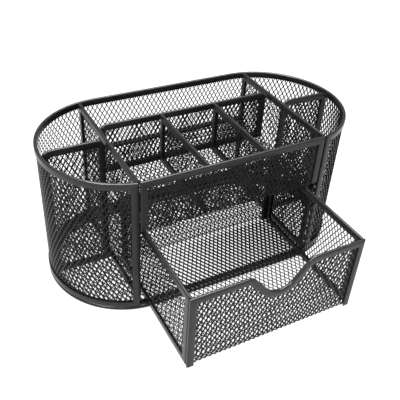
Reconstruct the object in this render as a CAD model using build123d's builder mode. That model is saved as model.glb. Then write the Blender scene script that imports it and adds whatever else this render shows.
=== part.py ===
"""Pen stand with drawer: a stadium-shaped desk organizer of expanded-metal mesh panels edged
with folded sheet channels, with eight open compartments beside and over one pull-out drawer.

Frame: millimetres, +Z up, the desk at z = 0, origin at the centre of the base.
X runs along the front, -Y is the drawer's side. The drawer is drawn partly pulled out.
"""

import os
from math import acos, cos, hypot, pi, radians, sin, sqrt

from build123d import *

# ---------------------------------------------------------------- driving dimensions
length = 220.0  # over the two round ends
depth = 110.0  # front to rear, and so twice the radius of the round ends
height = 102.0  # desk to the top rims

strip = 0.6  # sheet thickness of the folded edge channels
mesh_thickness = 0.8  # overall thickness of the expanded mesh
seat_gap = 0.1  # between the mesh and each wall of its channel
mesh_end_gap = 0.2  # between the mesh's cut edge and the web of its channel
weld_gap = 0.1  # between pieces that are spot-welded together

rim_leg = 4.5  # how far an edge channel reaches over its panel
base_leg = 9.0  # the same for the flat channel round the base
base_thickness = 3.0  # height of the base channel

divider_x = 66.0  # centre plane of each full-height divider
shelf_z = 64.0  # middle of the shelf mesh, the floor of the upper compartments
partition_y = 17.0  # centre plane of the partition in front of the rear compartment
small_divider_x = 20.5  # centre plane of each small divider on the shelf
post_setback = 0.5  # outer wall's posts and front panel stop this far from the divider's centre
corner_radius = 6.0  # rounded upper corners of the partition and the end dividers
fold_radius = 2.0  # inside of the bends in the folded mesh sheets
fold_chamfer = 0.5  # softened folds along the back of every channel

drawer_open = 58.0  # how far the drawer stands out of its bay
drawer_side_play = 3.4  # drawer to divider, each side
drawer_rear_play = 2.4  # closed drawer to rear wall
drawer_top_play = 3.0  # drawer to shelf
drawer_lift = 0.3  # drawer to the base channel that it slides on
drawer_leg = 4.5  # edge channels of the drawer
scoop_depth = 18.0  # finger scoop in the drawer front
scoop_bottom_radius = 12.0
scoop_shoulder_radius = 8.0
scoop_slope = 50.0  # degrees, the steepest part of the scoop

cell_short = 30.0  # mesh cells of the flat panels: short diagonal
cell_long = 40.0  # mesh cells of the flat panels: long diagonal
wall_cell_short = 40.0  # mesh cells of the outer wall and the base
wall_cell_long = 45.0
strand = 3.3  # width of the mesh strands

# ---------------------------------------------------------------- worked out from those
channel = 2 * strip + 2 * seat_gap + mesh_thickness  # outside thickness of a channel
slot = mesh_thickness + 2 * seat_gap
grip = strip + mesh_end_gap  # from a channel's back to the mesh's cut edge
end_centre = (length - depth) / 2
outer_radius = depth / 2
inner_radius = outer_radius - channel
middle_radius = outer_radius - channel / 2
post_x = divider_x + post_setback
panel_half = divider_x - post_setback
divider_face = divider_x + channel / 2
bay_half = divider_x - channel / 2


def half_depth(radius, x):
    """Half the depth, at x along the front, of the stadium with that end radius."""
    return sqrt(radius**2 - max(abs(x) - end_centre, 0.0) ** 2)


front_face = half_depth(outer_radius, post_x)  # the front panel's outer face is y = -front_face
divider_half = half_depth(inner_radius, divider_face) - weld_gap
divider_bottom = base_thickness + weld_gap
shelf_top = shelf_z + mesh_thickness / 2
fold_middle = fold_radius + mesh_thickness / 2
upper_bottom = shelf_top + weld_gap

drawer_half = bay_half - drawer_side_play
drawer_bottom = base_thickness + drawer_lift
drawer_top = shelf_z - mesh_thickness / 2 - drawer_top_play
drawer_front_y = -front_face - drawer_open
drawer_length = front_face + half_depth(inner_radius, drawer_half) - drawer_rear_play
drawer_back_y = drawer_front_y + drawer_length

os.makedirs("parts", exist_ok=True)


def save(part, name):
    """Labels a finished piece and writes it."""
    part.label = name
    export_step(part, f"parts/{name}.step")


# ---------------------------------------------------------------- planes, nets and channels
def facing_front(y, x=0.0, z=0.0):
    """Upright plane along the front: local x is +X and local y is +Z."""
    return Plane(origin=(x, y, z), x_dir=(1, 0, 0), z_dir=(0, -1, 0))


def facing_side(x, y=0.0, z=0.0):
    """Upright plane from front to rear: local x is +Y and local y is +Z."""
    return Plane(origin=(x, y, z), x_dir=(0, 1, 0), z_dir=(1, 0, 0))


class Panel:
    """Outside size of a flat panel in its own plane, and which sides have an edge channel."""

    def __init__(self, left, right, bottom, top, leg=rim_leg, edged="left right bottom top"):
        self.sides = {"left": left, "right": right, "bottom": bottom, "top": top}
        self.leg = leg
        self.edged = edged.split()

    def on_open_side(self, point):
        """Whether a point in the panel's plane lies on one of its sides without a channel."""
        away = {
            "left": point.X - self.sides["left"],
            "right": point.X - self.sides["right"],
            "bottom": point.Y - self.sides["bottom"],
            "top": point.Y - self.sides["top"],
        }
        return any(abs(away[side]) < mesh_end_gap / 2 for side in away if side not in self.edged)

    def inset(self, by):
        """Width, height and centre of the panel, drawn in on its edged sides only."""
        draw = {side: by if side in self.edged else 0.0 for side in self.sides}
        left = self.sides["left"] + draw["left"]
        right = self.sides["right"] - draw["right"]
        bottom = self.sides["bottom"] + draw["bottom"]
        top = self.sides["top"] - draw["top"]
        return right - left, top - bottom, (left + right) / 2, (bottom + top) / 2


def rectangle(size, upper_corners=0.0, front_foot=0.0, mode=Mode.ADD):
    """Rectangle of that width, height and centre, with some of its corners rounded."""
    width, tall, centre_x, centre_y = size
    with BuildSketch(mode=Mode.PRIVATE) as shape:
        with Locations((centre_x, centre_y)):
            Rectangle(width, tall)
        if upper_corners > 0:
            fillet(shape.vertices().group_by(Axis.Y)[-1], upper_corners)
        if front_foot > 0:
            fillet(shape.vertices().group_by(Axis.Y)[0].sort_by(Axis.X)[0], front_foot)
    add(shape.sketch, mode=mode)


def fitted(span, cell):
    """Whole number of cells nearest to the wanted size, and the size that fills the span."""
    count = max(1, round(span / cell))
    return count, span / count


def diamond(cell_x, cell_y):
    """Corners of a mesh gap: its cell less half a strand on each of the four sides."""
    edge_distance = cell_x * cell_y / 2 / hypot(cell_x, cell_y)
    left_over = 1 - strand / 2 / edge_distance
    half_x = left_over * cell_x / 2
    half_y = left_over * cell_y / 2
    return (-half_x, 0), (0, -half_y), (half_x, 0), (0, half_y)


def diamond_gaps(size, cell_x=cell_short, cell_y=cell_long):
    """The gaps of a flat net in a window of that width, height and centre."""
    width, tall, centre_x, centre_y = size
    columns, pitch_x = fitted(width, cell_x)
    rows, pitch_y = fitted(tall, cell_y)
    with BuildSketch(mode=Mode.PRIVATE) as gaps:
        with Locations((centre_x, centre_y)):
            with GridLocations(pitch_x, pitch_y, columns, rows):
                Polygon(*diamond(pitch_x, pitch_y), align=None)
            with GridLocations(pitch_x, pitch_y, columns + 1, rows + 1):
                Polygon(*diamond(pitch_x, pitch_y), align=None)
            Rectangle(width, tall, mode=Mode.INTERSECT)
    return gaps.sketch


def net_face(panel, cell_x=cell_short, cell_y=cell_long, upper_corners=0.0, front_foot=0.0):
    """Flat net that fills the panel's channels, as one holed face."""
    with BuildSketch(mode=Mode.PRIVATE) as face:
        rectangle(panel.inset(grip), upper_corners - grip, front_foot - grip)
        add(diamond_gaps(panel.inset(panel.leg), cell_x, cell_y), mode=Mode.SUBTRACT)
    return face.sketch


def outline_face(panel, upper_corners=0.0, front_foot=0.0):
    """Outline of the edge channel that is folded round the panel's edged sides."""
    with BuildSketch(mode=Mode.PRIVATE) as face:
        rectangle(panel.inset(0), upper_corners, front_foot)
    return face.sketch


def window_face(panel):
    """What that channel leaves open inside its legs."""
    with BuildSketch(mode=Mode.PRIVATE) as face:
        rectangle(panel.inset(panel.leg))
    return face.sketch


def fold_edges(blank, plane, panel):
    """Edges of a channel's blank along its folds, on both faces, but not on its open sides."""
    found = []
    for edge in blank.edges():
        middle = plane.to_local_coords(edge @ 0.5)
        on_face = abs(abs(middle.Z) - channel / 2) < mesh_end_gap / 2
        if on_face and not panel.on_open_side(middle):
            found.append(edge)
    return found


def groove_face(panel, upper_corners=0.0, front_foot=0.0):
    """What the groove of that channel takes away, in the middle of its thickness."""
    with BuildSketch(mode=Mode.PRIVATE) as face:
        rectangle(panel.inset(strip), upper_corners - strip, front_foot - strip)
    return face.sketch


def stadium(radius, mode=Mode.ADD):
    """Stadium round the two end centres, with that end radius."""
    SlotCenterToCenter(2 * end_centre, 2 * radius, mode=mode)


def wall_band(outer, inner, half_gap):
    """Plan of the outer wall: a stadium band, open at the front between the two posts."""
    stadium(outer)
    stadium(inner, mode=Mode.SUBTRACT)
    Rectangle(2 * half_gap, length, align=(Align.CENTER, Align.MAX), mode=Mode.SUBTRACT)


def mitre(side, corner_z, inward):
    """A post's half of the corner that it shares with a rim, cut at 45 degrees.

    Inward is -1 at the top rim and 1 at the bottom rim.
    """
    inner_z = corner_z + inward * rim_leg
    near, far = side * post_x, side * (post_x + rim_leg)
    Polygon((near, corner_z), (near, inner_z), (far, inner_z), align=None)


# ---------------------------------------------------------------- base
with BuildPart() as base_rim:
    with BuildSketch():
        stadium(outer_radius)
    extrude(amount=base_thickness)
    chamfer(base_rim.faces().filter_by(Axis.Z).edges(), fold_chamfer)
    with BuildSketch():
        stadium(outer_radius - base_leg)
    extrude(amount=base_thickness, mode=Mode.SUBTRACT)
    with BuildSketch(Plane.XY.offset(strip)):
        stadium(outer_radius - strip)
    extrude(amount=base_thickness - 2 * strip, mode=Mode.SUBTRACT)
save(base_rim.part, "base_rim")

with BuildPart() as base_mesh:
    with BuildSketch(mode=Mode.PRIVATE) as base_gaps:
        add(diamond_gaps((length, depth, 0, 0), wall_cell_short, wall_cell_long))
        stadium(outer_radius - base_leg, mode=Mode.INTERSECT)
    with BuildSketch(Plane.XY.offset(strip + seat_gap)):
        stadium(outer_radius - grip)
        add(base_gaps.sketch, mode=Mode.SUBTRACT)
    extrude(amount=mesh_thickness)
save(base_mesh.part, "base_mesh")

# ---------------------------------------------------------------- outer wall
wall_bottom = base_thickness
wall_tall = height - wall_bottom
arc_sweep = pi / 2 + acos(max(post_x - end_centre, 0) / middle_radius)
front_straight = max(end_centre - post_x, 0)  # on a long stand the wall also runs straight to its posts
window_half = end_centre + middle_radius * arc_sweep + front_straight - rim_leg  # from the rear's middle
window_tall = wall_tall - 2 * rim_leg
wall_columns, wall_pitch = fitted(2 * window_half, wall_cell_short)
wall_rows, row_pitch = fitted(window_tall, wall_cell_long)


def wall_plane(along):
    """Plane square to the outer wall, at a distance along it from the middle of the rear."""
    side = 1 if along > 0 else -1
    past_rear = max(abs(along) - end_centre, 0)
    turn = min(past_rear / middle_radius, pi)
    past_end = past_rear - turn * middle_radius
    straight = min(abs(along), end_centre) - past_end
    out_x = side * sin(turn)
    out_y = cos(turn)
    origin = (side * straight + middle_radius * out_x, middle_radius * out_y, height / 2)
    return Plane(origin=origin, x_dir=(-out_y, out_x, 0), z_dir=(out_x, out_y, 0))


with BuildPart() as wall_gaps:
    for step in range(2 * wall_columns + 1):
        at_left_end = step == 0
        at_right_end = step == 2 * wall_columns
        with BuildSketch(wall_plane(step * wall_pitch / 2 - window_half)):
            with Locations((0, wall_bottom / 2)):
                with GridLocations(wall_pitch, row_pitch, 1, wall_rows + (step + 1) % 2):
                    Polygon(*diamond(wall_pitch, row_pitch), align=None)
            with Locations(((at_right_end - at_left_end) * wall_pitch / 2, wall_bottom / 2)):
                Rectangle(wall_pitch, window_tall, mode=Mode.INTERSECT)
    extrude(amount=2 * mesh_thickness, both=True)

with BuildPart() as outer_wall_mesh:
    with BuildSketch(Plane.XY.offset(wall_bottom + grip)):
        half_mesh = mesh_thickness / 2
        wall_band(middle_radius + half_mesh, middle_radius - half_mesh, post_x + grip)
    extrude(amount=wall_tall - 2 * grip)
    add(wall_gaps.part, mode=Mode.SUBTRACT)
save(outer_wall_mesh.part, "outer_wall_mesh")

rims = {
    "outer_wall_top_rim": (height - rim_leg, height - rim_leg, height, -1),
    "outer_wall_bottom_rim": (wall_bottom, wall_bottom + strip, wall_bottom, 1),
}
for name, (rim_z, groove_z, corner_z, inward) in rims.items():
    with BuildPart() as wall_rim:
        with BuildSketch(Plane.XY.offset(rim_z)):
            wall_band(outer_radius, inner_radius, post_x)
        extrude(amount=rim_leg)
        folded = wall_rim.edges().filter_by_position(Axis.Z, corner_z, corner_z)
        chamfer(folded.filter_by(lambda edge: edge.length > channel * 2), fold_chamfer)
        with BuildSketch(Plane.XY.offset(groove_z)):
            wall_band(middle_radius + slot / 2, middle_radius - slot / 2, post_x)
        extrude(amount=rim_leg - strip, mode=Mode.SUBTRACT)
        with BuildSketch(facing_front(0)):
            mitre(-1, corner_z, inward)
            mitre(1, corner_z, inward)
        extrude(amount=depth, mode=Mode.SUBTRACT)
    save(wall_rim.part, name)

for side, name in ((-1, "left_wall_post"), (1, "right_wall_post")):
    with BuildPart() as post_shape:
        with BuildSketch(facing_front(0)):
            with Locations((side * (post_x + rim_leg / 2), wall_bottom + wall_tall / 2)):
                Rectangle(rim_leg, wall_tall - 2 * rim_leg)
            mitre(side, height, -1)
            mitre(side, wall_bottom, 1)
        extrude(amount=depth)
    with BuildPart() as wall_post:
        with BuildSketch(Plane.XY.offset(wall_bottom)):
            wall_band(outer_radius, inner_radius, post_x)
        extrude(amount=wall_tall)
        upright = wall_post.edges().filter_by(Axis.Z)
        chamfer(upright.filter_by(lambda edge: abs(abs(edge.center().X) - post_x) < strip), fold_chamfer)
        with BuildSketch(Plane.XY.offset(wall_bottom)):
            wall_band(middle_radius + slot / 2, middle_radius - slot / 2, post_x + strip)
        extrude(amount=wall_tall, mode=Mode.SUBTRACT)
        add(post_shape.part, mode=Mode.INTERSECT)
    save(wall_post.part, name)

# ---------------------------------------------------------------- full-height dividers
divider = Panel(-divider_half, divider_half, divider_bottom, height)
end_reach = end_centre + sqrt(inner_radius**2 - (channel / 2) ** 2) - weld_gap

for side, name in ((-1, "left"), (1, "right")):
    plane = facing_side(side * divider_x)
    with BuildPart() as divider_mesh:
        with BuildSketch(plane):
            add(net_face(divider))
        extrude(amount=mesh_thickness / 2, both=True)
    save(divider_mesh.part, f"{name}_divider_mesh")

    with BuildPart() as divider_frame:
        with BuildSketch(plane):
            add(outline_face(divider))
        extrude(amount=channel / 2, both=True)
        chamfer(fold_edges(divider_frame, plane, divider), fold_chamfer)
        with BuildSketch(plane):
            add(window_face(divider))
        extrude(amount=channel / 2, both=True, mode=Mode.SUBTRACT)
        with BuildSketch(plane):
            add(groove_face(divider))
        extrude(amount=slot / 2, both=True, mode=Mode.SUBTRACT)
    save(divider_frame.part, f"{name}_divider_frame")

    near = divider_face + weld_gap
    ends = sorted((side * near, side * end_reach))
    end_divider = Panel(*ends, divider_bottom, height)
    with BuildPart() as end_divider_mesh:
        with BuildSketch(facing_front(0)):
            add(net_face(end_divider, upper_corners=corner_radius))
        extrude(amount=mesh_thickness / 2, both=True)
    save(end_divider_mesh.part, f"{name}_end_divider_mesh")

    with BuildPart() as end_divider_frame:
        with BuildSketch(facing_front(0)):
            add(outline_face(end_divider, corner_radius))
        extrude(amount=channel / 2, both=True)
        chamfer(fold_edges(end_divider_frame, facing_front(0), end_divider), fold_chamfer)
        with BuildSketch(facing_front(0)):
            add(window_face(end_divider))
        extrude(amount=channel / 2, both=True, mode=Mode.SUBTRACT)
        with BuildSketch(facing_front(0)):
            add(groove_face(end_divider, corner_radius))
        extrude(amount=slot / 2, both=True, mode=Mode.SUBTRACT)
    save(end_divider_frame.part, f"{name}_end_divider_frame")

# ---------------------------------------------------------------- front panel and shelf
front_plane = facing_front(-front_face + channel / 2)
front_panel = Panel(-panel_half, panel_half, shelf_z + fold_middle, height, rim_leg, "left right top")
shelf_half = panel_half - grip
shelf_front = -front_face + channel / 2 + fold_middle
shelf_rear = half_depth(inner_radius, bay_half) - weld_gap
shelf = Panel(-shelf_half, shelf_half, shelf_front, shelf_rear, rim_leg, "top")


def quarter_fold(centre_y, centre_z, rear_side):
    """Section of the bend from an upright mesh sheet into one that lies under its centre.

    The upright sheet stands in front of the centre for -1 and behind it for 1.
    """
    reach = fold_middle + mesh_thickness / 2
    with BuildSketch(mode=Mode.PRIVATE) as section:
        with Locations((centre_y, centre_z)):
            Circle(reach)
            Circle(fold_radius, mode=Mode.SUBTRACT)
        with Locations((centre_y + rear_side * reach / 2, centre_z - reach / 2)):
            Rectangle(reach, reach, mode=Mode.INTERSECT)
    return section.sketch


with BuildPart() as front_panel_mesh:
    with BuildSketch(front_plane):
        add(net_face(front_panel))
    extrude(amount=mesh_thickness / 2, both=True)
    with BuildSketch(Plane.YZ):
        add(quarter_fold(shelf_front, shelf_z + fold_middle, -1))
    extrude(amount=shelf_half, both=True)
save(front_panel_mesh.part, "front_panel_mesh")

with BuildPart() as front_panel_frame:
    with BuildSketch(front_plane):
        add(outline_face(front_panel))
    extrude(amount=channel / 2, both=True)
    chamfer(fold_edges(front_panel_frame, front_plane, front_panel), fold_chamfer)
    with BuildSketch(front_plane):
        add(window_face(front_panel))
    extrude(amount=channel / 2, both=True, mode=Mode.SUBTRACT)
    with BuildSketch(front_plane):
        add(groove_face(front_panel))
    extrude(amount=slot / 2, both=True, mode=Mode.SUBTRACT)
save(front_panel_frame.part, "front_panel_frame")

with BuildPart() as shelf_mesh:
    with BuildSketch(Plane.XY.offset(shelf_z)):
        add(net_face(shelf))
    extrude(amount=mesh_thickness / 2, both=True)
save(shelf_mesh.part, "shelf_mesh")

with BuildPart() as shelf_rear_rail:
    with BuildSketch(Plane.XY.offset(shelf_z)):
        add(outline_face(shelf))
    extrude(amount=channel / 2, both=True)
    chamfer(fold_edges(shelf_rear_rail, Plane.XY.offset(shelf_z), shelf), fold_chamfer)
    with BuildSketch(Plane.XY.offset(shelf_z)):
        add(window_face(shelf))
    extrude(amount=channel / 2, both=True, mode=Mode.SUBTRACT)
    with BuildSketch(Plane.XY.offset(shelf_z)):
        add(groove_face(shelf))
    extrude(amount=slot / 2, both=True, mode=Mode.SUBTRACT)
save(shelf_rear_rail.part, "shelf_rear_rail")

# ---------------------------------------------------------------- partition and small dividers
partition_half = bay_half - weld_gap
partition = Panel(-partition_half, partition_half, upper_bottom, height)

with BuildPart() as partition_mesh:
    with BuildSketch(facing_front(partition_y)):
        add(net_face(partition, upper_corners=corner_radius))
    extrude(amount=mesh_thickness / 2, both=True)
save(partition_mesh.part, "partition_mesh")

with BuildPart() as partition_frame:
    with BuildSketch(facing_front(partition_y)):
        add(outline_face(partition, corner_radius))
    extrude(amount=channel / 2, both=True)
    chamfer(fold_edges(partition_frame, facing_front(partition_y), partition), fold_chamfer)
    with BuildSketch(facing_front(partition_y)):
        add(window_face(partition))
    extrude(amount=channel / 2, both=True, mode=Mode.SUBTRACT)
    with BuildSketch(facing_front(partition_y)):
        add(groove_face(partition, corner_radius))
    extrude(amount=slot / 2, both=True, mode=Mode.SUBTRACT)
save(partition_frame.part, "partition_frame")

small_front = -front_face + channel + weld_gap
small_rear = partition_y - channel / 2 - weld_gap
small = Panel(small_front, small_rear, upper_bottom, height, rim_leg, "right bottom top")

for side, name in ((-1, "left"), (1, "right")):
    plane = facing_side(side * small_divider_x)
    with BuildPart() as small_divider_mesh:
        with BuildSketch(plane):
            add(net_face(small, front_foot=fold_middle + grip))
        extrude(amount=mesh_thickness / 2, both=True)
    save(small_divider_mesh.part, f"{name}_small_divider_mesh")

    with BuildPart() as small_divider_frame:
        with BuildSketch(plane):
            add(outline_face(small, front_foot=fold_middle))
        extrude(amount=channel / 2, both=True)
        chamfer(fold_edges(small_divider_frame, plane, small), fold_chamfer)
        with BuildSketch(plane):
            add(window_face(small))
        extrude(amount=channel / 2, both=True, mode=Mode.SUBTRACT)
        with BuildSketch(plane):
            add(groove_face(small, front_foot=fold_middle))
        extrude(amount=slot / 2, both=True, mode=Mode.SUBTRACT)
    save(small_divider_frame.part, f"{name}_small_divider_frame")

# ---------------------------------------------------------------- drawer
slope = radians(scoop_slope)
straight_drop = scoop_depth - (scoop_bottom_radius + scoop_shoulder_radius) * (1 - cos(slope))
straight_length = straight_drop / sin(slope)
scoop_half = (scoop_bottom_radius + scoop_shoulder_radius) * sin(slope)
scoop_half += straight_length * cos(slope)


def scooped(by):
    """Drawer front with its finger scoop, drawn in by that much on its top and both ends."""
    half, bottom, top = drawer_half, fold_z, drawer_top
    shoulder = scoop_shoulder_radius - by
    valley = scoop_bottom_radius + by
    with BuildSketch(mode=Mode.PRIVATE) as face:
        with BuildLine():
            start = Line((-half + by, top - by), (-scoop_half, top - by))
            left_shoulder = JernArc(start @ 1, start % 1, shoulder, -scoop_slope)
            down = PolarLine(left_shoulder @ 1, straight_length, direction=left_shoulder % 1)
            dip = JernArc(down @ 1, down % 1, valley, 2 * scoop_slope)
            up = PolarLine(dip @ 1, straight_length, direction=dip % 1)
            right_shoulder = JernArc(up @ 1, up % 1, shoulder, -scoop_slope)
            Polyline(
                right_shoulder @ 1,
                (half - by, top - by),
                (half - by, bottom),
                (-half + by, bottom),
                start @ 0,
            )
        make_face()
    return face.sketch


tray_z = drawer_bottom + mesh_thickness / 2  # middle of the drawer's floor mesh
fold_z = tray_z + fold_middle
front_mid = drawer_front_y + channel / 2
back_mid = drawer_back_y - channel / 2
tray_front = front_mid + fold_middle
tray_back = back_mid - fold_middle
tray_half = drawer_half - channel - weld_gap
drawer_floor = Panel(-tray_half, tray_half, tray_front, tray_back, drawer_leg, "")
drawer_end = Panel(-drawer_half, drawer_half, fold_z, drawer_top, drawer_leg, "left right top")

with BuildPart() as drawer_front_mesh:
    with BuildSketch(mode=Mode.PRIVATE) as front_gaps:
        add(diamond_gaps(drawer_end.inset(drawer_leg)))
        add(scooped(drawer_leg), mode=Mode.INTERSECT)
    with BuildSketch(facing_front(front_mid)):
        add(scooped(grip))
        add(front_gaps.sketch, mode=Mode.SUBTRACT)
    extrude(amount=mesh_thickness / 2, both=True)
    with BuildSketch(Plane.YZ):
        add(quarter_fold(tray_front, fold_z, -1))
    extrude(amount=tray_half, both=True)
save(drawer_front_mesh.part, "drawer_front_mesh")

with BuildPart() as drawer_front_frame:
    with BuildSketch(facing_front(front_mid)):
        add(scooped(0))
    extrude(amount=channel / 2, both=True)
    chamfer(fold_edges(drawer_front_frame, facing_front(front_mid), drawer_end), fold_chamfer)
    with BuildSketch(facing_front(front_mid)):
        add(scooped(drawer_leg))
    extrude(amount=channel / 2, both=True, mode=Mode.SUBTRACT)
    with BuildSketch(facing_front(front_mid)):
        add(scooped(strip))
    extrude(amount=slot / 2, both=True, mode=Mode.SUBTRACT)
save(drawer_front_frame.part, "drawer_front_frame")

with BuildPart() as drawer_floor_mesh:
    with BuildSketch(Plane.XY.offset(tray_z)):
        add(net_face(drawer_floor))
    extrude(amount=mesh_thickness / 2, both=True)
save(drawer_floor_mesh.part, "drawer_floor_mesh")

with BuildPart() as drawer_back_mesh:
    with BuildSketch(facing_front(back_mid)):
        add(net_face(drawer_end))
    extrude(amount=mesh_thickness / 2, both=True)
    with BuildSketch(Plane.YZ):
        add(quarter_fold(tray_back, fold_z, 1))
    extrude(amount=tray_half, both=True)
save(drawer_back_mesh.part, "drawer_back_mesh")

with BuildPart() as drawer_back_frame:
    with BuildSketch(facing_front(back_mid)):
        add(outline_face(drawer_end))
    extrude(amount=channel / 2, both=True)
    chamfer(fold_edges(drawer_back_frame, facing_front(back_mid), drawer_end), fold_chamfer)
    with BuildSketch(facing_front(back_mid)):
        add(window_face(drawer_end))
    extrude(amount=channel / 2, both=True, mode=Mode.SUBTRACT)
    with BuildSketch(facing_front(back_mid)):
        add(groove_face(drawer_end))
    extrude(amount=slot / 2, both=True, mode=Mode.SUBTRACT)
save(drawer_back_frame.part, "drawer_back_frame")

side_start = drawer_front_y + channel + weld_gap
side_end = drawer_back_y - channel - weld_gap
drawer_side = Panel(side_start, side_end, drawer_bottom, drawer_top, drawer_leg)

for side, name in ((-1, "left"), (1, "right")):
    plane = facing_side(side * (drawer_half - channel / 2))
    with BuildPart() as drawer_side_mesh:
        with BuildSketch(plane):
            add(net_face(drawer_side))
        extrude(amount=mesh_thickness / 2, both=True)
    save(drawer_side_mesh.part, f"drawer_{name}_side_mesh")

    with BuildPart() as drawer_side_frame:
        with BuildSketch(plane):
            add(outline_face(drawer_side))
        extrude(amount=channel / 2, both=True)
        chamfer(fold_edges(drawer_side_frame, plane, drawer_side), fold_chamfer)
        with BuildSketch(plane):
            add(window_face(drawer_side))
        extrude(amount=channel / 2, both=True, mode=Mode.SUBTRACT)
        with BuildSketch(plane):
            add(groove_face(drawer_side))
        extrude(amount=slot / 2, both=True, mode=Mode.SUBTRACT)
    save(drawer_side_frame.part, f"drawer_{name}_side_frame")
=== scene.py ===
from math import acos, cos, pi, radians, sin, sqrt

import bmesh
import bpy
import numpy as np
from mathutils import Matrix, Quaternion, Vector


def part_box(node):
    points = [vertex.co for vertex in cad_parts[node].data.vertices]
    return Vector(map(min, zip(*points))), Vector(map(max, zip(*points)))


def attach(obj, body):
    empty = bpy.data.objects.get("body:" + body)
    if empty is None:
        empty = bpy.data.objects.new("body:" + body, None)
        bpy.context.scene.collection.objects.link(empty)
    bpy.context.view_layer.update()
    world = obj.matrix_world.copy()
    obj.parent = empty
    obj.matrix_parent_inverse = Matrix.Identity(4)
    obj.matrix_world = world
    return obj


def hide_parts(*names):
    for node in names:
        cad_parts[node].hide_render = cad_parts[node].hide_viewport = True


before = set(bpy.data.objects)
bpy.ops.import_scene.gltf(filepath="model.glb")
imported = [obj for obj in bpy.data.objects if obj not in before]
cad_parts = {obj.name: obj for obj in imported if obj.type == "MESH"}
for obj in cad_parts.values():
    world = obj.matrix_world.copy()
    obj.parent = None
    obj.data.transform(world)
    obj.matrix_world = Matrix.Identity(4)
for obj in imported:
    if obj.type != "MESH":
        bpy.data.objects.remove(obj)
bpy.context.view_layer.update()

# ---------------------------------------------------------------- sizes, in metres
MM = 0.001

# Expanded mesh: one diamond, its strands, the sheet and how far the strands are twisted out of it.
CELL_SHORT = 3.5 * MM
CELL_LONG = 6.0 * MM
STRAND = 0.68 * MM
SHEET = 0.4 * MM
TWIST = 0.21 * MM

# Edge channels: a strip folded round the mesh's edge, with a leg on each side of it.
STRIP = 0.6 * MM
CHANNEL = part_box("shelf_rear_rail")[1].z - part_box("shelf_rear_rail")[0].z
RIM_LEG = 4.5 * MM
BASE_LEG = 6.0 * MM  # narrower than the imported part's, as the photograph shows it
LEG_EASE = 0.15 * MM  # the leg's outer corner, eased along the leg
LEG_EASE_DEPTH = 0.1 * STRIP
RIM_ROUND = 0.82  # the fold's radius, as a share of half the channel's thickness
BASE_ROUND = 0.99
FOLD_STEPS = 5
GRIP = 0.8 * MM  # from a channel's back to the mesh's cut edge
SEAM = 0.22 * MM  # open line of a mitred corner
BASE_SEAM = radians(246.7)  # where the base ring's strip ends, round the left end from +X

# Bends and rounded corners, and how finely they are drawn.
SHEET_FOLD = 1.3 * MM  # bend radius of the folded mesh sheets, to the middle of the sheet
CORNER = 6.0 * MM  # rounded upper corners
CORNER_STEPS = 8
END_STEPS = 40  # stations round each end of the stadium
EDGE_KEEP = 1.0 * MM  # how far past a curved edge a gap's centre may lie
SHARP_ANGLE = radians(40)  # a channel's edges above this stay sharp

# The stadium that the outer wall stands on.
wall_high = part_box("outer_wall_top_rim")[1]
RADIUS = wall_high.y
END_CENTRE = wall_high.x - RADIUS
MID_RADIUS = RADIUS - CHANNEL / 2
POST_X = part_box("right_wall_post")[0].x
POST_TURN = pi / 2 + acos((POST_X - END_CENTRE) / MID_RADIUS)
WALL_HALF = END_CENTRE + MID_RADIUS * POST_TURN  # along the wall, from the rear's middle to a post
WALL_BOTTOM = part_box("outer_wall_bottom_rim")[0].z
HEIGHT = wall_high.z

# The shelf and the panel in front of it.
rail_low, rail_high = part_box("shelf_rear_rail")
panel_low, panel_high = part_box("front_panel_frame")
PANEL_HALF = panel_high.x
PANEL_MID = (panel_low.y + panel_high.y) / 2
SHELF_Z = (rail_low.z + rail_high.z) / 2
SHELF_REAR = rail_high.y

# The drawer.
front_low, front_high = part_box("drawer_front_frame")
back_low, back_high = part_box("drawer_back_frame")
tray_low, tray_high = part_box("drawer_floor_mesh")
DRAWER_HALF = front_high.x
DRAWER_TOP = front_high.z
DRAWER_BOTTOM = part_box("drawer_left_side_frame")[0].z
DRAWER_FRONT = (front_low.y + front_high.y) / 2
DRAWER_BACK = (back_low.y + back_high.y) / 2
TRAY_Z = (tray_low.z + tray_high.z) / 2
TRAY_HALF = DRAWER_HALF - GRIP

# Finger scoop of the drawer front: a valley between two shoulders, joined by straight slopes.
SCOOP_DEPTH = 18.0 * MM
SCOOP_BOTTOM = 12.0 * MM
SCOOP_SHOULDER = 8.0 * MM
SCOOP_SLOPE = radians(50)
SCOOP_STEPS = 8
SCOOP_KEEP = 2.5 * MM  # how far past the scooped edge a gap's centre may lie
SCOOP_INSET = 0.6 * MM  # how much deeper the sheet sits in the scoop's channel

# Powder coat: noise cells a metre, where the dusty areas start and end, and the spread of the gloss.
CLOUD_SCALE = 60.0
GLOSS_SCALE = 220.0
PEEL_SCALE = 1400.0
DUST_FROM = 0.35
DUST_TO = 0.75
GLOSSIER = 0.06
DULLER = 0.08
PEEL_STRENGTH = 0.25
PEEL_HEIGHT = 0.08 * MM

# Studio: the room is white up to one height of the sky, from 0 to 1, and dim from the next.
FLOOR_HALF = 6.0
FLOOR_COLOUR = (0.08, 0.08, 0.08, 1)
WHITE = (1, 1, 1, 1)
HORIZON_TOP = 0.07
DIM_FROM = 0.14
DIM_STRENGTH = 0.22
LAMPS = {  # place, width in metres, power in watts
    "key": ((-0.9, -0.5, 1.3), 0.6, 45),
    "top": ((0.1, 0.2, 1.4), 1.4, 75),
}

# Camera, fitted to the corners that the photograph shows.
CAMERA_AT = Vector((-172.45, -306.94, 295.24)) * MM
CAMERA_TURN = Quaternion((0.869669, 0.430430, -0.130053, -0.203695))
CAMERA_LENS = 53.37
CAMERA_SENSOR = 36

X, Y, Z = np.eye(3)
ALL_SIDES = ("left", "right", "top", "bottom")


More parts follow.
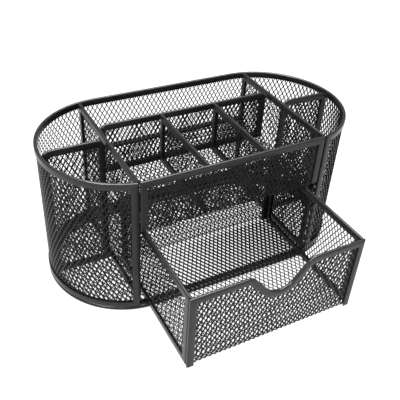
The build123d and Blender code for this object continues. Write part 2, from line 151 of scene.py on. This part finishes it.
# ---------------------------------------------------------------- materials
def powder_coat(name, colour, roughness, dust, specular):
    """Satin black powder coat: a fine orange-peel bump, uneven gloss and slightly paler dusty areas."""
    mat = bpy.data.materials.new(name)
    mat.use_nodes = True
    nodes, links = mat.node_tree.nodes, mat.node_tree.links
    shader = nodes["Principled BSDF"]
    shader.inputs["Specular IOR Level"].default_value = specular
    where = nodes.new("ShaderNodeTexCoord")

    def noise(scale, detail):
        """The value of a noise in the object's own space."""
        tex = nodes.new("ShaderNodeTexNoise")
        tex.inputs["Scale"].default_value = scale
        tex.inputs["Detail"].default_value = detail
        links.new(where.outputs["Object"], tex.inputs["Vector"])
        return tex.outputs["Fac"]

    tone = nodes.new("ShaderNodeValToRGB")
    clean, dusty = tone.color_ramp.elements
    clean.position = DUST_FROM
    clean.color = (*colour, 1)
    dusty.position = DUST_TO
    dusty.color = (*[c * dust for c in colour], 1)
    links.new(noise(CLOUD_SCALE, detail=4.0), tone.inputs["Fac"])
    links.new(tone.outputs["Color"], shader.inputs["Base Color"])

    gloss = nodes.new("ShaderNodeMapRange")
    gloss.inputs["To Min"].default_value = roughness - GLOSSIER
    gloss.inputs["To Max"].default_value = roughness + DULLER
    links.new(noise(GLOSS_SCALE, detail=3.0), gloss.inputs["Value"])
    links.new(gloss.outputs["Result"], shader.inputs["Roughness"])

    bump = nodes.new("ShaderNodeBump")
    bump.inputs["Strength"].default_value = PEEL_STRENGTH
    bump.inputs["Distance"].default_value = PEEL_HEIGHT
    links.new(noise(PEEL_SCALE, detail=2.0), bump.inputs["Height"])
    links.new(bump.outputs["Normal"], shader.inputs["Normal"])
    return mat


channel_coat = powder_coat(
    "channel_powder_coat", (0.0060, 0.0068, 0.0060), roughness=0.28, dust=1.6, specular=0.33
)
mesh_coat = powder_coat(
    "mesh_powder_coat", (0.0030, 0.0030, 0.0034), roughness=0.26, dust=1.5, specular=0.2
)


# ---------------------------------------------------------------- pieces
def new_piece(name, points, faces, mat, body, replaced):
    """Makes one visible piece that stands for CAD nodes and moves with their body."""
    mesh = bpy.data.meshes.new(name)
    mesh.from_pydata(np.asarray(points).tolist(), [], faces)
    mesh.validate()
    mesh.update()
    mesh.materials.append(mat)
    obj = bpy.data.objects.new(name, mesh)
    bpy.context.scene.collection.objects.link(obj)
    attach(obj, body)
    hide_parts(*replaced)
    return obj


def shade_channel(obj):
    """Shades a channel's folds smooth, with its edges left sharp, and turns its faces outwards."""
    obj.data.shade_smooth()
    obj.data.set_sharp_from_angle(angle=SHARP_ANGLE)
    bm = bmesh.new()
    bm.from_mesh(obj.data)
    bmesh.ops.recalc_face_normals(bm, faces=bm.faces)
    bm.to_mesh(obj.data)
    bm.free()


# ---------------------------------------------------------------- expanded mesh
def lattice(width, tall, keep=None):
    """Expanded mesh over a width by a height, with the long diagonal upright.

    Gives the corners of the gaps as (across, up, out) and the layer's faces, and leaves out the
    gaps whose centre keep(across, up) is false for.
    """
    columns = max(1, round(width / CELL_SHORT))
    rows = max(1, round(tall / CELL_LONG))
    half_x = width / columns / 2
    half_y = tall / rows / 2
    i, j = np.meshgrid(np.arange(2 * columns + 1), np.arange(2 * rows + 1), indexing="ij")
    real = (i + j) % 2 == 0
    if keep is not None:
        real &= keep(i * half_x, j * half_y)
    number = np.full(i.shape, -1)
    number[real] = np.arange(real.sum())

    open_share = 1 - STRAND / 2 * sqrt(half_x**2 + half_y**2) / (half_x * half_y)
    reach = np.array([(-half_x, 0), (0, -half_y), (half_x, 0), (0, half_y)]) * open_share
    centres = np.stack([i[real] * half_x, j[real] * half_y], axis=1)
    flat = (centres[:, None, :] + reach[None, :, :]).reshape(-1, 2)
    flat = np.clip(flat, 0, [width, tall])
    twist = np.tile([TWIST, 0, -TWIST, 0], len(centres))
    points = np.column_stack([flat, twist])

    left, low, right, high = range(4)

    def corner(shift_i, shift_j, which):
        """Number of one corner of the gap that lies that many half cells away, or -1."""
        a, b = i + shift_i, j + shift_j
        inside = (a >= 0) & (a < i.shape[0]) & (b >= 0) & (b < i.shape[1])
        cell = number[np.clip(a, 0, i.shape[0] - 1), np.clip(b, 0, i.shape[1] - 1)]
        return np.where(inside & (cell >= 0), cell * 4 + which, -1)

    faces = []
    rising = [corner(0, 0, right), corner(1, 1, low), corner(1, 1, left), corner(0, 0, high)]
    falling = [corner(0, 0, low), corner(1, -1, left), corner(1, -1, high), corner(0, 0, right)]
    for strand in (rising, falling):
        quads = np.stack(strand, axis=-1)[real]
        faces += quads[(quads >= 0).all(axis=1)].tolist()
    bonds = [corner(-1, 0, right), corner(0, -1, high), corner(1, 0, left), corner(0, 1, low)]
    for bond in np.stack(bonds, axis=-1)[(i + j) % 2 == 1]:
        corners = bond[bond >= 0].tolist()
        if len(corners) > 2:
            faces.append(corners)
    return points, faces


def two_sided(points, faces, place):
    """Turns a layer into a closed sheet: place(across, up, out) gives its points in space."""
    half = SHEET / 2
    front = place(points[:, 0], points[:, 1], points[:, 2] + half)
    back = place(points[:, 0], points[:, 1], points[:, 2] - half)
    count = len(points)
    edges = {(a, b) for face in faces for a, b in zip(face, face[1:] + face[:1])}
    walls = [[b, a, a + count, b + count] for a, b in edges if (b, a) not in edges]
    under = [[v + count for v in reversed(face)] for face in faces]
    faces = faces + under + walls

    # One step across, up and out: where those three are left-handed, every face is turned over.
    steps = MM * np.vstack([np.zeros(3), np.eye(3)])
    at, across, up, out = place(*steps.T)
    if np.dot(np.cross(across - at, up - at), out - at) < 0:
        faces = [face[::-1] for face in faces]
    return np.vstack([front, back]), faces


def plane(origin, across, up, out):
    """A flat place for a net: its lower left corner and its three directions."""
    def place(u, v, w):
        return origin + np.outer(u, across) + np.outer(v, up) + np.outer(w, out)
    return place


def net(name, width, tall, place, body, replaced, keep=None, pull=None):
    """One expanded-mesh panel. pull(points) may draw its edge in to a curved outline."""
    points, faces = lattice(width, tall, keep)
    if pull is not None:
        points = pull(points)
    points, faces = two_sided(points, faces, place)
    new_piece(name, points, faces, mesh_coat, body, replaced)


# ---------------------------------------------------------------- channels
def channel_section(leg, thick, roundness):
    """Section of a folded channel as (inward, out), round its fold and back inside it."""
    half = thick / 2
    fold = half * roundness
    outside = [(leg, half - LEG_EASE_DEPTH), (leg - LEG_EASE, half)]
    for k in range(FOLD_STEPS + 1):
        turn = pi / 2 * k / FOLD_STEPS
        outside.append((fold - fold * sin(turn), half - fold + fold * cos(turn)))
    outside += [(inward, -out) for inward, out in reversed(outside)]
    inner = half - STRIP
    inside = [(leg, -inner), (STRIP, -inner), (STRIP, inner), (leg, inner)]
    return outside + inside


def sweep(runs, section):
    """Sweeps a section along runs of (point, inward, out). Gives points and faces."""
    count = len(section)
    points, faces = [], []
    for run in runs:
        first = len(points)
        for at, inward, out in run:
            points += [at + depth * inward + side * out for depth, side in section]
        last = len(points) - count
        for here in range(first, last, count):
            for s in range(count):
                t = (s + 1) % count
                faces.append([here + s, here + t, here + count + t, here + count + s])
        faces.append([first + s for s in reversed(range(count))])
        faces.append([last + s for s in range(count)])
    return points, faces


def channels(name, runs, body, replaced, leg=RIM_LEG, thick=CHANNEL, roundness=RIM_ROUND):
    """One piece of folded edge channel, made of all its runs."""
    points, faces = sweep(runs, channel_section(leg, thick, roundness))
    shade_channel(new_piece(name, points, faces, channel_coat, body, replaced))


# ---------------------------------------------------------------- flat panels
def outline_runs(sides, place, out):
    """Channel runs in a panel's plane; each side is a list of (u, v, inward u, inward v)."""
    def spot(u, v):
        return place([u], [v], [0.0])[0]

    zero = spot(0.0, 0.0)
    return [[(spot(u, v), spot(du, dv) - zero, out) for u, v, du, dv in side] for side in sides]


def arc(centre_u, centre_v, radius, start, end):
    """Points of an outline's rounded corner with their inward directions, towards its centre."""
    found = []
    for k in range(CORNER_STEPS + 1):
        a = start + (end - start) * k / CORNER_STEPS
        found.append((centre_u + radius * cos(a), centre_v + radius * sin(a), -cos(a), -sin(a)))
    return found


def rectangle_sides(width, tall, edged=ALL_SIDES, corner=0.0):
    """Sides of a rectangle's channel.

    Sides that meet are mitred with an open seam. With a corner radius all four sides are edged, and
    the left, top and right are one run round the upper corners.
    """
    gap = SEAM / 2

    def meet(first, second):
        """1 where both sides are edged, so that they meet in a mitre, else 0."""
        return 1.0 if first in edged and second in edged else 0.0

    lower_left, lower_right = meet("bottom", "left"), meet("bottom", "right")
    upper_left, upper_right = meet("top", "left"), meet("top", "right")
    left = [(0, gap * lower_left, 1, lower_left)]
    right = [(width, gap * lower_right, -1, lower_right)]
    bottom = [
        (gap * lower_left, 0, lower_left, 1),
        (width - gap * lower_right, 0, -lower_right, 1),
    ]
    if corner:
        over_left = arc(corner, tall - corner, corner, pi, pi / 2)
        over_right = arc(width - corner, tall - corner, corner, pi / 2, 0)
        return [left + over_left + over_right + right, bottom]

    left.append((0, tall - gap * upper_left, 1, -upper_left))
    right.append((width, tall - gap * upper_right, -1, -upper_right))
    top = [
        (gap * upper_left, tall, upper_left, -1),
        (width - gap * upper_right, tall, -upper_right, -1),
    ]
    sides = {"left": left, "right": right, "top": top, "bottom": bottom}
    return [sides[name] for name in edged]


def corner_rounder(width, tall, radius):
    """A pull that draws what is outside a net's rounded upper corners back onto them."""
    def pull(points):
        for centre_u, sign in ((radius, -1), (width - radius, 1)):
            du, dv = points[:, 0] - centre_u, points[:, 1] - (tall - radius)
            far = np.hypot(du, dv)
            beyond = (du * sign > 0) & (dv > 0) & (far > radius)
            scale = radius / far[beyond]
            points[beyond, 0] = centre_u + du[beyond] * scale
            points[beyond, 1] = tall - radius + dv[beyond] * scale
        return points
    return pull


class Panel:
    """A flat panel: where its lower left corner is, its size and its three directions."""

    def __init__(self, node, across, up, out):
        low, high = (np.array(v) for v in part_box(node))
        self.middle = (low + high) / 2
        self.width = abs((high - low) @ across)
        self.tall = abs((high - low) @ up)
        self.across, self.up, self.out = across, up, out

    def place(self, inset=0.0):
        """The plane of the panel, or of what lies inset inside its outline."""
        to_left = self.across * (self.width / 2 - inset)
        to_bottom = self.up * (self.tall / 2 - inset)
        return plane(self.middle - to_left - to_bottom, self.across, self.up, self.out)


def edged_panel(stem, across, up, out, body, edged=ALL_SIDES, corner=0.0):
    """A flat net and the channel round it, standing for the two CAD nodes of that name."""
    panel = Panel(stem + "_frame", across, up, out)
    sides = rectangle_sides(panel.width, panel.tall, edged, corner)
    channels(stem + "_channel", outline_runs(sides, panel.place(), out), body, [stem + "_frame"])

    width, tall = panel.width - 2 * GRIP, panel.tall - 2 * GRIP
    pull = corner_rounder(width, tall, corner - GRIP) if corner else None
    net(stem + "_expanded_mesh", width, tall, panel.place(GRIP), body, [stem + "_mesh"], pull=pull)


# ---------------------------------------------------------------- outer wall and base
def stadium_point(along):
    """Point and outward normal of the wall's middle line, at a distance from the rear's middle."""
    side = 1 if along > 0 else -1
    turn = max(abs(along) - END_CENTRE, 0) / MID_RADIUS
    straight = min(abs(along), END_CENTRE)
    normal = np.array([side * sin(turn), cos(turn), 0.0])
    return np.array([side * straight, 0, 0]) + MID_RADIUS * normal, normal


def wall_tangent(normal):
    """Direction along the wall from the left post to the right one."""
    return np.array([normal[1], -normal[0], 0])


def wall_place(u, v, w):
    """The curved wall's net: u runs along the wall from the left post."""
    points = []
    for along, up, out in zip(u - WALL_HALF + GRIP, v, w):
        at, normal = stadium_point(along)
        points.append(at + normal * out + Z * (WALL_BOTTOM + GRIP + up))
    return np.array(points)


def wall_rim(name, z, inward):
    """The channel on the wall's upper or lower edge, mitred to the posts."""
    end = np.linspace(END_CENTRE, WALL_HALF, END_STEPS)
    run = []
    for along in np.concatenate([-end[::-1], end]):
        at, normal = stadium_point(along)
        mitre = np.zeros(3)
        if abs(along) == WALL_HALF:
            mitre = -np.sign(along) * wall_tangent(normal)
        run.append((at + mitre * SEAM / 2 + Z * z, inward + mitre, normal))
    channels(name + "_channel", [run], "housing", [name])


def wall_post(name, side):
    """The upright channel on one end of the wall, beside the front opening."""
    at, normal = stadium_point(side * WALL_HALF)
    inward = -side * wall_tangent(normal)
    low, high = WALL_BOTTOM + SEAM / 2, HEIGHT - SEAM / 2
    run = [(at + Z * low, inward + Z, normal), (at + Z * high, inward - Z, normal)]
    channels(name + "_channel", [run], "housing", [name])


def base_ring():
    """The flat channel round the base, whose strip's two ends meet at a seam near the left post."""
    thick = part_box("base_rim")[1].z
    gap = 0.5 * SEAM / RADIUS
    left = np.linspace(BASE_SEAM - gap, pi / 2, END_STEPS)
    right = np.linspace(pi / 2, -pi / 2, END_STEPS)
    left_front = np.linspace(3 * pi / 2, BASE_SEAM, END_STEPS // 3)
    run = []
    for centre, turns in ((-END_CENTRE, left), (END_CENTRE, right), (-END_CENTRE, left_front)):
        for turn in turns:
            normal = np.array([cos(turn), sin(turn), 0])
            run.append((X * centre + normal * RADIUS + Z * thick / 2, -normal, Z))
    channels("base_rim_channel", [run], "housing", ["base_rim"], BASE_LEG, thick, BASE_ROUND)


def base_net():
    """The mesh floor, cut to the stadium inside the base's channel."""
    low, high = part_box("base_rim")
    reach = RADIUS - GRIP
    half_width = END_CENTRE + reach

    def past_straight(u):
        """How far a point lies past the straight sides, with the sign of its end."""
        x = u - half_width
        return np.sign(x) * np.maximum(np.abs(x) - END_CENTRE, 0)

    def keep(u, v):
        return np.hypot(past_straight(u), v - reach) < reach + EDGE_KEEP

    def pull(points):
        past, y = past_straight(points[:, 0]), points[:, 1] - reach
        scale = reach / np.maximum(np.hypot(past, y), reach)
        points[:, 0] += past * (scale - 1)
        points[:, 1] = reach + y * scale
        return points

    place = plane(np.array([-half_width, -reach, (low.z + high.z) / 2]), X, Y, Z)
    net("base_expanded_mesh", 2 * half_width, 2 * reach, place, "housing", ["base_mesh"], keep, pull)


net("outer_wall_expanded_mesh", 2 * (WALL_HALF - GRIP), HEIGHT - WALL_BOTTOM - 2 * GRIP, wall_place,
    "housing", ["outer_wall_mesh"])
wall_rim("outer_wall_top_rim", HEIGHT, -Z)
wall_rim("outer_wall_bottom_rim", WALL_BOTTOM, Z)
wall_post("left_wall_post", -1)
wall_post("right_wall_post", 1)
base_ring()
base_net()

# ---------------------------------------------------------------- dividers and partition
for side in ("left", "right"):
    edged_panel(side + "_divider", Y, Z, X, "housing")
    edged_panel(side + "_small_divider", Y, Z, X, "housing", ("right", "top", "bottom"))
for stem in ("partition", "left_end_divider", "right_end_divider"):
    edged_panel(stem, X, Z, -Y, "housing", corner=CORNER)


# ---------------------------------------------------------------- folded sheets
def folded_place(x_low, path):
    """A net bent along a path of straight runs and quarter bends in the YZ plane.

    path gives (length, function of the distance in that run to (y, z, out y, out z)).
    """
    ends = np.cumsum([length for length, _ in path])

    def place(u, v, w):
        points = []
        for across, along, out in zip(u, v, w):
            k = min(int(np.searchsorted(ends, along)), len(path) - 1)
            start = ends[k - 1] if k else 0.0
            y, z, out_y, out_z = path[k][1](along - start)
            points.append((x_low + across, y + out * out_y, z + out * out_z))
        return np.array(points)

    return place


def descending(y, top):
    """A front wall going down from its top."""
    return lambda s: (y, top - s, -1.0, 0.0)


def ascending(y, bottom):
    """A rear wall going up from its bottom."""
    return lambda s: (y, bottom + s, 1.0, 0.0)


def level(y, z):
    """A floor going to the rear, whose outside is underneath."""
    return lambda s: (y + s, z, 0.0, -1.0)


def quarter_bend(centre_y, centre_z, start):
    """A quarter bend about a line along X, from the front wall or up into the rear wall."""
    def point(s):
        a = start + s / SHEET_FOLD
        return centre_y + SHEET_FOLD * cos(a), centre_z + SHEET_FOLD * sin(a), cos(a), sin(a)
    return point


def folded_net(name, half_width, path, body, replaced, keep=None, pull=None):
    """One net that follows a folded path, and stands for the flat CAD nets of its parts."""
    length = sum(length for length, _ in path)
    net(name, 2 * half_width, length, folded_place(-half_width, path), body, replaced, keep, pull)


quarter = SHEET_FOLD * pi / 2
shelf_path = [
    (HEIGHT - GRIP - (SHELF_Z + SHEET_FOLD), descending(PANEL_MID, HEIGHT - GRIP)),
    (quarter, quarter_bend(PANEL_MID + SHEET_FOLD, SHELF_Z + SHEET_FOLD, pi)),
    (SHELF_REAR - GRIP - (PANEL_MID + SHEET_FOLD), level(PANEL_MID + SHEET_FOLD, SHELF_Z)),
]
folded_net("front_panel_and_shelf_mesh", PANEL_HALF - GRIP, shelf_path, "housing",
           ["front_panel_mesh", "shelf_mesh"])

front_panel = Panel("front_panel_frame", X, Z, -Y)
front_sides = rectangle_sides(front_panel.width, front_panel.tall, ("left", "right", "top"))
channels("front_panel_channel", outline_runs(front_sides, front_panel.place(), -Y), "housing",
         ["front_panel_frame"])

rail = [(np.array([x, SHELF_REAR, SHELF_Z]), -Y, Z) for x in (rail_low.x, rail_high.x)]
channels("shelf_rear_rail_channel", [rail], "housing", ["shelf_rear_rail"])


# ---------------------------------------------------------------- drawer
def scoop_outline():
    """Top edge of the drawer front between its scoop's two ends, as (x, z, inward x, inward z)."""
    straight_drop = SCOOP_DEPTH - (SCOOP_BOTTOM + SCOOP_SHOULDER) * (1 - cos(SCOOP_SLOPE))
    straight_length = straight_drop / sin(SCOOP_SLOPE)
    curved_half = (SCOOP_BOTTOM + SCOOP_SHOULDER) * sin(SCOOP_SLOPE)
    scoop_half = curved_half + straight_length * cos(SCOOP_SLOPE)
    half = []
    for k in range(SCOOP_STEPS + 1):  # the left shoulder, whose centre is below the edge
        a = SCOOP_SLOPE * k / SCOOP_STEPS
        x = -scoop_half + SCOOP_SHOULDER * sin(a)
        z = DRAWER_TOP - SCOOP_SHOULDER * (1 - cos(a))
        half.append((x, z, -sin(a), -cos(a)))
    for k in range(SCOOP_STEPS + 1):  # the valley, whose centre is above the edge
        a = SCOOP_SLOPE * (1 - k / SCOOP_STEPS)
        x = -SCOOP_BOTTOM * sin(a)
        z = DRAWER_TOP - SCOOP_DEPTH + SCOOP_BOTTOM * (1 - cos(a))
        half.append((x, z, -sin(a), -cos(a)))
    return half + [(-x, z, -dx, dz) for x, z, dx, dz in reversed(half[:-1])]


def drawer_end_channel(end, y, out, scoop):
    """The channel on both sides and the top of the drawer's front or back."""
    gap = SEAM / 2
    left = [(-DRAWER_HALF, DRAWER_BOTTOM, 1, 0), (-DRAWER_HALF, DRAWER_TOP - gap, 1, -1)]
    right = [(DRAWER_HALF, DRAWER_BOTTOM, -1, 0), (DRAWER_HALF, DRAWER_TOP - gap, -1, -1)]
    top_left = (-DRAWER_HALF + gap, DRAWER_TOP, 1, -1)
    top_right = (DRAWER_HALF - gap, DRAWER_TOP, -1, -1)
    sides = [left, right, [top_left, *scoop, top_right]]
    runs = outline_runs(sides, plane(np.array([0, y, 0]), X, Z, out), out)
    channels(f"drawer_{end}_channel", runs, "drawer", [f"drawer_{end}_frame"])


scoop = scoop_outline()
drawer_end_channel("front", DRAWER_FRONT, -Y, scoop)
drawer_end_channel("back", DRAWER_BACK, Y, [])

scoop_x, scoop_z = np.array(scoop)[:, :2].T


def scoop_drop(u):
    """How far the scooped edge lies below the drawer's top, across the tray's sheet."""
    return DRAWER_TOP - np.interp(u - TRAY_HALF, scoop_x, scoop_z, left=DRAWER_TOP, right=DRAWER_TOP)


def keep_tray(u, v):
    """Leaves out the gaps that the scoop cuts away."""
    return v > scoop_drop(u) - SCOOP_KEEP


def pull_tray(points):
    """Draws the sheet's front edge down to the scoop."""
    drop = scoop_drop(points[:, 0])
    points[:, 1] = np.where(drop > 0, np.maximum(points[:, 1], drop + SCOOP_INSET), points[:, 1])
    return points


tray_wall = DRAWER_TOP - GRIP - (TRAY_Z + SHEET_FOLD)
bend_z = TRAY_Z + SHEET_FOLD
tray_path = [
    (tray_wall, descending(DRAWER_FRONT, DRAWER_TOP - GRIP)),
    (quarter, quarter_bend(DRAWER_FRONT + SHEET_FOLD, bend_z, pi)),
    (DRAWER_BACK - DRAWER_FRONT - 2 * SHEET_FOLD, level(DRAWER_FRONT + SHEET_FOLD, TRAY_Z)),
    (quarter, quarter_bend(DRAWER_BACK - SHEET_FOLD, bend_z, 3 * pi / 2)),
    (tray_wall, ascending(DRAWER_BACK, bend_z)),
]
folded_net("drawer_tray_mesh", TRAY_HALF, tray_path, "drawer",
           ["drawer_front_mesh", "drawer_floor_mesh", "drawer_back_mesh"], keep_tray, pull_tray)

for side in ("left", "right"):
    edged_panel(f"drawer_{side}_side", Y, Z, X, "drawer")


# ---------------------------------------------------------------- floor, light and camera
def studio_floor():
    """A pale floor that is bright enough to render white."""
    h = FLOOR_HALF
    mesh = bpy.data.meshes.new("studio_floor")
    mesh.from_pydata([(-h, -h, 0), (h, -h, 0), (h, h, 0), (-h, h, 0)], [], [(0, 1, 2, 3)])
    floor = bpy.data.objects.new("studio_floor", mesh)
    bpy.context.scene.collection.objects.link(floor)
    mat = bpy.data.materials.new("white_sweep")
    mat.use_nodes = True
    shader = mat.node_tree.nodes["Principled BSDF"]
    shader.inputs["Base Color"].default_value = FLOOR_COLOUR
    shader.inputs["Roughness"].default_value = 1.0
    shader.inputs["Specular IOR Level"].default_value = 0.0
    shader.inputs["Emission Color"].default_value = WHITE
    shader.inputs["Emission Strength"].default_value = 1.0
    mesh.materials.append(mat)


def studio_room():
    """A room that is white at the horizon and dimmer above it."""
    world = bpy.data.worlds.new("studio")
    world.use_nodes = True
    nodes, links = world.node_tree.nodes, world.node_tree.links
    direction = nodes.new("ShaderNodeTexCoord")
    height = nodes.new("ShaderNodeSeparateXYZ")
    fade = nodes.new("ShaderNodeMapRange")
    fade.inputs["From Min"].default_value = HORIZON_TOP
    fade.inputs["From Max"].default_value = DIM_FROM
    fade.inputs["To Min"].default_value = 1.0
    fade.inputs["To Max"].default_value = DIM_STRENGTH
    links.new(direction.outputs["Generated"], height.inputs["Vector"])
    links.new(height.outputs["Z"], fade.inputs["Value"])
    links.new(fade.outputs["Result"], nodes["Background"].inputs["Strength"])
    nodes["Background"].inputs["Color"].default_value = WHITE
    bpy.context.scene.world = world


def studio_lamps():
    """Round soft lamps that point at the middle of the floor."""
    for name, (at, width, power) in LAMPS.items():
        data = bpy.data.lights.new(name, "AREA")
        data.shape = "DISK"
        data.size = width
        data.energy = power
        lamp = bpy.data.objects.new(name, data)
        lamp.location = at
        lamp.rotation_euler = (-Vector(at)).to_track_quat("-Z", "Y").to_euler()
        bpy.context.scene.collection.objects.link(lamp)


def camera():
    """The photograph's camera."""
    data = bpy.data.cameras.new("camera")
    data.sensor_width = CAMERA_SENSOR
    data.lens = CAMERA_LENS
    data.clip_start, data.clip_end = 0.01, 50
    obj = bpy.data.objects.new("camera", data)
    obj.location = CAMERA_AT
    obj.rotation_mode = "QUATERNION"
    obj.rotation_quaternion = CAMERA_TURN
    bpy.context.scene.collection.objects.link(obj)
    bpy.context.scene.camera = obj


studio_floor()
studio_room()
studio_lamps()
camera()
bpy.context.scene.view_settings.view_transform = "Standard"
